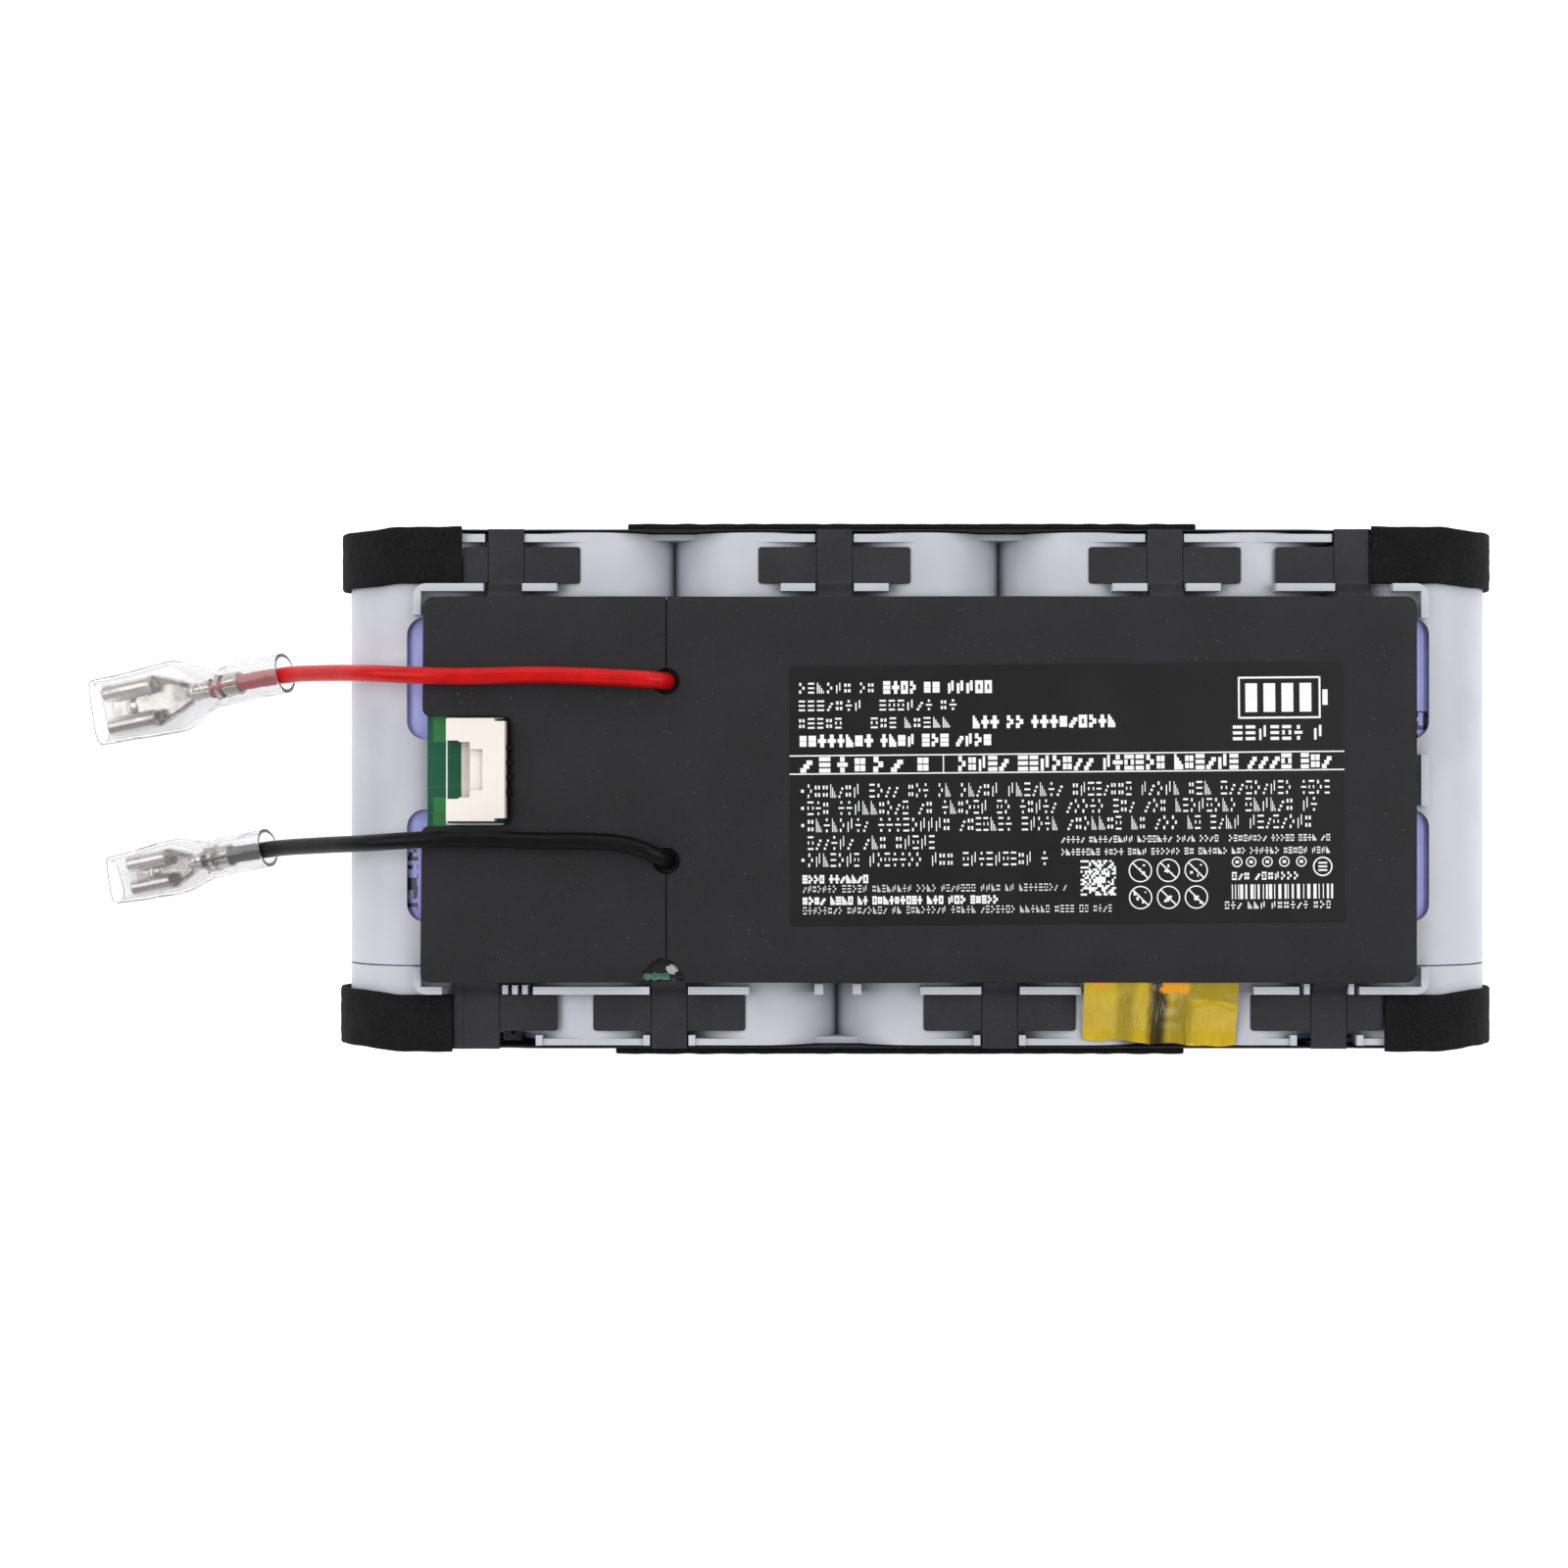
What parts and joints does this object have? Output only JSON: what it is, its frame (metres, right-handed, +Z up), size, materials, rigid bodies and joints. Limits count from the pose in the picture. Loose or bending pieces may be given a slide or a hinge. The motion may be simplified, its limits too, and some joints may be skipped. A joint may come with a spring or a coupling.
{
  "type": "battery pack",
  "caption": "Flat row of cylindrical cells in a fluted plastic holder, with a covered protection board, side-entry signal header and two sleeved power leads.",
  "frame": {"origin": "middle of the pack without its leads, on the surface that it rests on", "axes": "+X along the row of cells, leads leave towards -X; +Y along the cells, towards the holder's long part; +Z up, from the resting foam pads to the board's cover"},
  "size_m": [0.1993, 0.073, 0.0323],
  "materials": {
    "amber_tape": "glossy polyimide film",
    "black_foam": "fine closed-cell foam",
    "black_insulation": "smooth wire insulation",
    "board_laminate": "solder mask",
    "cell_steel": "nickel plated",
    "cell_wrap_film": "smooth shrink film",
    "clear_sleeve": "clear flexible vinyl",
    "component_black": "moulded",
    "header_nylon": "moulded",
    "holder_plastic": "fine matt texture",
    "insulator_paper": "matt insulating paper",
    "label_film": "satin label film",
    "nickel_strip": "satin",
    "red_insulation": "smooth wire insulation",
    "sensor_epoxy": "dipped",
    "tinned_brass": "bright tin",
    "white_adhesive": "cured dab"
  },
  "bodies": {
    "root": {"adhesive_dab": "white_adhesive", "board_cover": "insulator_paper", "cell_1": "cell_steel", "cell_2": "cell_steel", "cell_3": "cell_steel", "cell_4": "cell_steel", "cell_5": "cell_steel", "cell_6": "cell_steel", "cell_7": "cell_steel", "cell_insulator_rings": "insulator_paper", "cell_wrap_1": "cell_wrap_film", "cell_wrap_2": "cell_wrap_film", "cell_wrap_3": "cell_wrap_film", "cell_wrap_4": "cell_wrap_film", "cell_wrap_5": "cell_wrap_film", "cell_wrap_6": "cell_wrap_film", "cell_wrap_7": "cell_wrap_film", "chip_resistors": "component_black", "circuit_board": "board_laminate", "control_chip": "component_black", "front_end_foam": "black_foam", "front_end_paper": "insulator_paper", "front_left_corner_foam": "black_foam", "front_link_2_3": "nickel_strip", "front_link_4_5": "nickel_strip", "front_link_6_7": "nickel_strip", "front_right_corner_foam": "black_foam", "front_tab_1": "nickel_strip", "front_tab_insulator_1": "insulator_paper", "front_tab_insulator_2_3": "insulator_paper", "front_tab_insulator_4_5": "insulator_paper", "front_tab_insulator_6_7": "insulator_paper", "header_housing": "header_nylon", "header_pins": "tinned_brass", "holder_end_cap": "holder_plastic", "holder_main": "holder_plastic", "negative_lead": "black_insulation", "negative_sleeve": "clear_sleeve", "negative_terminal": "tinned_brass", "positive_lead": "red_insulation", "positive_sleeve": "clear_sleeve", "positive_terminal": "tinned_brass", "power_transistors": "component_black", "rating_label": "label_film", "rear_end_foam": "black_foam", "rear_end_paper": "insulator_paper", "rear_left_corner_foam": "black_foam", "rear_link_1_2": "nickel_strip", "rear_link_3_4": "nickel_strip", "rear_link_5_6": "nickel_strip", "rear_right_corner_foam": "black_foam", "rear_tab_7": "nickel_strip", "rear_tab_insulator_1_2": "insulator_paper", "rear_tab_insulator_3_4": "insulator_paper", "rear_tab_insulator_5_6": "insulator_paper", "rear_tab_insulator_7": "insulator_paper", "sense_resistor": "component_black", "thermistor_bead": "sensor_epoxy", "thermistor_leads": "black_insulation", "thermistor_tape": "amber_tape"}
  },
  "joints": []
}
